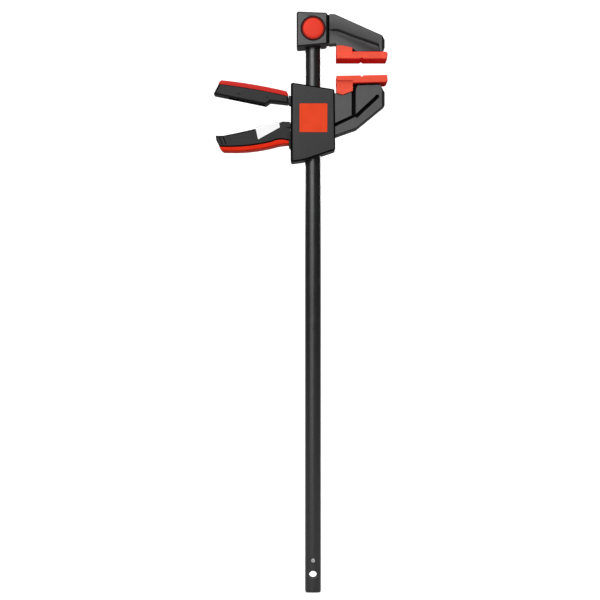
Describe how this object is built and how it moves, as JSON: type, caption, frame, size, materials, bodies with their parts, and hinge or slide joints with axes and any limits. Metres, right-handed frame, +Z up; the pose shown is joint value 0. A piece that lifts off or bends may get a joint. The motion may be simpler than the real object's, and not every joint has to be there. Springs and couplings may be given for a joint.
{
  "type": "quick release bar clamp",
  "caption": "One-handed bar clamp: a fixed jaw on a hollow rail, a jaw pumped up the rail by a hand lever, soft pads, a release tab and a lock button.",
  "frame": {"origin": "centre of the hole across the rail's lower end", "axes": "+Z up along the rail towards the fixed jaw, +X from the rail towards the jaws, -Y towards the front with the lock button"},
  "size_m": [0.2381, 0.0377, 0.7961],
  "materials": {
    "rail_black": "satin black coating on a rolled steel rail",
    "jaw_grey": "fine-grained glass-filled nylon",
    "housing_grey": "fine-grained glass-filled nylon",
    "pad_red": "soft moulded pad",
    "button_red": "glossy moulded button",
    "grip_red": "soft moulded grip",
    "badge_orange": "plain glossy inlay",
    "bright_steel": "bright steel",
    "dark_steel": "blackened steel"
  },
  "bodies": {
    "rail": {"rail": "rail_black", "stop_pin": "bright_steel", "fixed_jaw": "jaw_grey", "head_cover": "housing_grey", "fixed_pad": "pad_red", "lock_spring": "bright_steel"},
    "lock_button": {"lock_button": "button_red", "lock_bridge": "bright_steel", "lock_pin": "bright_steel"},
    "slider": {"slider_body": "jaw_grey", "front_cover": "housing_grey", "back_cover": "housing_grey", "cover_screw_1": "dark_steel", "cover_screw_2": "dark_steel", "cover_screw_3": "dark_steel", "cover_screw_4": "dark_steel", "cover_screw_5": "dark_steel", "sliding_pad": "pad_red", "badge": "badge_orange", "upper_guide": "bright_steel", "lower_guide": "bright_steel", "lever_pin": "bright_steel", "fixed_handle": "jaw_grey", "handle_grip": "grip_red", "drive_spring_left": "bright_steel", "drive_spring_right": "bright_steel", "brake_spring": "bright_steel"},
    "lever": {"lever_core": "dark_steel", "lever_grip": "jaw_grey", "lever_insert": "grip_red", "drive_nose": "bright_steel"},
    "drive": {"drive_plate_1": "dark_steel", "drive_plate_2": "dark_steel"},
    "release": {"brake_plate": "dark_steel", "release_tab": "jaw_grey"}
  },
  "joints": [
    {"name": "jaw_slide", "type": "slide", "parent": "rail", "child": "slider", "axis": [0, 0, 1], "range_m": [-0.5498, 0.0211]},
    {"name": "button_press", "type": "slide", "parent": "rail", "child": "lock_button", "axis": [0, 1, 0], "range_m": [0, 0.004], "stiffness_N_per_m": 1500, "springref_m": -0.002, "deforming": ["lock_spring"]},
    {"name": "lever_squeeze", "type": "hinge", "parent": "slider", "child": "lever", "pos_m": [0.0215, 0, 0.6476], "axis": [0, -1, 0], "range_deg": [0, 17], "stiffness_Nm_per_rad": 1.5, "springref_deg": -11.46},
    {"name": "drive_stroke", "type": "slide", "parent": "slider", "child": "drive", "axis": [0, 0, -1], "range_m": [0, 0.0024], "deforming": ["drive_spring_left", "drive_spring_right"]},
    {"name": "release_press", "type": "hinge", "parent": "slider", "child": "release", "pos_m": [0.024, 0, 0.6137], "axis": [0, -1, 0], "range_deg": [0, 4], "stiffness_Nm_per_rad": 4, "springref_deg": -4.01, "deforming": ["brake_spring"]}
  ],
  "couplings": [
    {"joint": "drive_stroke", "follows": "lever_squeeze", "m_per_rad": 0.00797}
  ]
}
